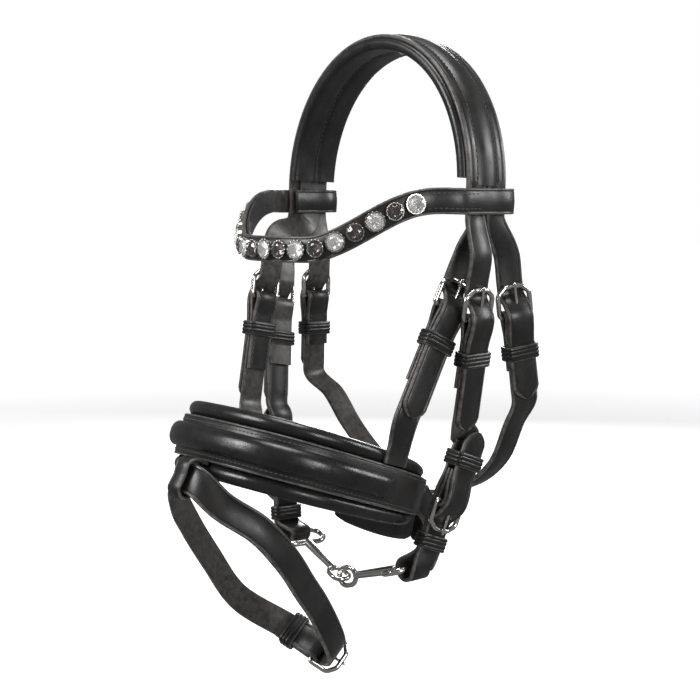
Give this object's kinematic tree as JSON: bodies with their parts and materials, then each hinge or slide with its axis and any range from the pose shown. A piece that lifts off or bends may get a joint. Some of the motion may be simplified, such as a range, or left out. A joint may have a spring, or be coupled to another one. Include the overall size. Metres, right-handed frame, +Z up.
{
  "type": "snaffle bridle",
  "caption": "Small padded snaffle bridle with crystal browband, flash noseband, throatlatch, wire buckles and a jointed bit with oval eyes, hung from its crown.",
  "frame": {"origin": "middle of the underside of the crown's apex, where it rests on the poll", "axes": "+Z up, +X towards the horse's left, -Y towards the nose"},
  "size_m": [0.1363, 0.1491, 0.2865],
  "materials": {
    "strap_leather": "smooth waxed bridle leather, near black, burnished edges",
    "padding": "soft matt black lining leather over foam",
    "raised_roll": "glossy raised leather roll",
    "buckle_steel": "polished stainless wire",
    "bit_steel": "polished stainless",
    "cup_metal": "bright claw cups",
    "crystal_clear": "faceted clear crystal",
    "crystal_smoke": "faceted dark grey crystal"
  },
  "bodies": {
    "bridle": {"browband": "strap_leather", "browband_lining": "padding", "cheek_loop_keeper_left": "strap_leather", "cheek_loop_keeper_right": "strap_leather", "cheek_lower_buckle_left": "buckle_steel", "cheek_lower_buckle_right": "buckle_steel", "cheek_middle_keeper_left": "strap_leather", "cheek_middle_keeper_right": "strap_leather", "cheek_upper_buckle_left": "buckle_steel", "cheek_upper_buckle_right": "buckle_steel", "cheek_upper_keeper_left": "strap_leather", "cheek_upper_keeper_right": "strap_leather", "cheekpiece_left": "strap_leather", "cheekpiece_right": "strap_leather", "chin_buckle": "buckle_steel", "chin_keeper": "strap_leather", "chin_pad": "padding", "chin_strap_left": "strap_leather", "chin_strap_right": "strap_leather", "crown_pad": "padding", "crown_strap": "strap_leather", "crystal_cups": "cup_metal", "crystals_clear": "crystal_clear", "crystals_smoke": "crystal_smoke", "flash_loop": "strap_leather", "hanger_buckle_left": "buckle_steel", "hanger_buckle_right": "buckle_steel", "hanger_keeper_left": "strap_leather", "hanger_keeper_right": "strap_leather", "noseband_front": "strap_leather", "noseband_hanger_left": "strap_leather", "noseband_hanger_right": "strap_leather", "noseband_headstrap": "strap_leather", "noseband_pad": "padding", "noseband_roll": "raised_roll", "throat_buckle_left": "buckle_steel", "throat_buckle_right": "buckle_steel", "throat_keeper_left": "strap_leather", "throat_keeper_right": "strap_leather", "throatlatch_strap": "strap_leather"},
    "flash": {"flash_strap": "strap_leather", "flash_buckle": "buckle_steel", "flash_keeper": "strap_leather"},
    "cheek_upper_tongue_left_body": {"cheek_upper_tongue_left": "buckle_steel"},
    "cheek_lower_tongue_left_body": {"cheek_lower_tongue_left": "buckle_steel"},
    "throat_tongue_left_body": {"throat_tongue_left": "buckle_steel"},
    "hanger_tongue_left_body": {"hanger_tongue_left": "buckle_steel"},
    "bit_left": {"bit_arm_left": "bit_steel"},
    "cheek_upper_tongue_right_body": {"cheek_upper_tongue_right": "buckle_steel"},
    "cheek_lower_tongue_right_body": {"cheek_lower_tongue_right": "buckle_steel"},
    "throat_tongue_right_body": {"throat_tongue_right": "buckle_steel"},
    "hanger_tongue_right_body": {"hanger_tongue_right": "buckle_steel"},
    "bit_right": {"bit_arm_right": "bit_steel"},
    "chin_tongue_body": {"chin_tongue": "buckle_steel"},
    "flash_tongue_body": {"flash_tongue": "buckle_steel"}
  },
  "joints": [
    {"name": "flash_swing", "type": "hinge", "parent": "bridle", "child": "flash", "pos_m": [0, -0.1145, -0.1795], "axis": [1, 0, 0], "range_deg": [-3, 3]},
    {"name": "cheek_upper_tongue_left_hinge", "type": "hinge", "parent": "bridle", "child": "cheek_upper_tongue_left_body", "pos_m": [0.062, -0.0085, -0.116], "axis": [0, 0.9998, 0.02], "range_deg": [0, 8]},
    {"name": "cheek_lower_tongue_left_hinge", "type": "hinge", "parent": "bridle", "child": "cheek_lower_tongue_left_body", "pos_m": [0.0505, -0.012, -0.196], "axis": [0, -0.9355, 0.3534], "range_deg": [0, 8]},
    {"name": "throat_tongue_left_hinge", "type": "hinge", "parent": "bridle", "child": "throat_tongue_left_body", "pos_m": [0.062, 0.0155, -0.1155], "axis": [0.284, 0.9468, 0.1515], "range_deg": [0, 8]},
    {"name": "hanger_tongue_left_hinge", "type": "hinge", "parent": "bridle", "child": "hanger_tongue_left_body", "pos_m": [0.054, -0.0175, -0.112], "axis": [0.0889, 0.8891, -0.449], "range_deg": [0, 8]},
    {"name": "cheek_upper_tongue_right_hinge", "type": "hinge", "parent": "bridle", "child": "cheek_upper_tongue_right_body", "pos_m": [-0.0625, -0.018, -0.116], "axis": [0, -0.9859, 0.1676], "range_deg": [0, 8]},
    {"name": "cheek_lower_tongue_right_hinge", "type": "hinge", "parent": "bridle", "child": "cheek_lower_tongue_right_body", "pos_m": [-0.052, -0.0265, -0.197], "axis": [0, 0.9992, -0.04], "range_deg": [0, 8]},
    {"name": "throat_tongue_right_hinge", "type": "hinge", "parent": "bridle", "child": "throat_tongue_right_body", "pos_m": [-0.061, 0.003, -0.113], "axis": [0, -0.9998, 0.02], "range_deg": [0, 8]},
    {"name": "hanger_tongue_right_hinge", "type": "hinge", "parent": "bridle", "child": "hanger_tongue_right_body", "pos_m": [-0.054, -0.034, -0.112], "axis": [0.0979, -0.9789, 0.1791], "range_deg": [0, 8]},
    {"name": "chin_tongue_hinge", "type": "hinge", "parent": "bridle", "child": "chin_tongue_body", "pos_m": [0.006, 0.0008, -0.214], "axis": [0.0281, -0.3488, -0.9368], "range_deg": [0, 8]},
    {"name": "flash_tongue_hinge", "type": "hinge", "parent": "flash", "child": "flash_tongue_body", "pos_m": [-0.0055, -0.04, -0.269], "axis": [0.0103, 0.7253, 0.6883], "range_deg": [0, 8]},
    {"name": "bit_left_swing", "type": "hinge", "parent": "bridle", "child": "bit_left", "pos_m": [0.04161, -0.02477, -0.22439], "axis": [0, 1, 0], "range_deg": [0, 4]},
    {"name": "bit_right_swing", "type": "hinge", "parent": "bridle", "child": "bit_right", "pos_m": [-0.04161, -0.02477, -0.22439], "axis": [0, 1, 0], "range_deg": [-4, 0]}
  ],
  "couplings": [
    {"joint": "bit_right_swing", "follows": "bit_left_swing", "ratio": -1}
  ]
}
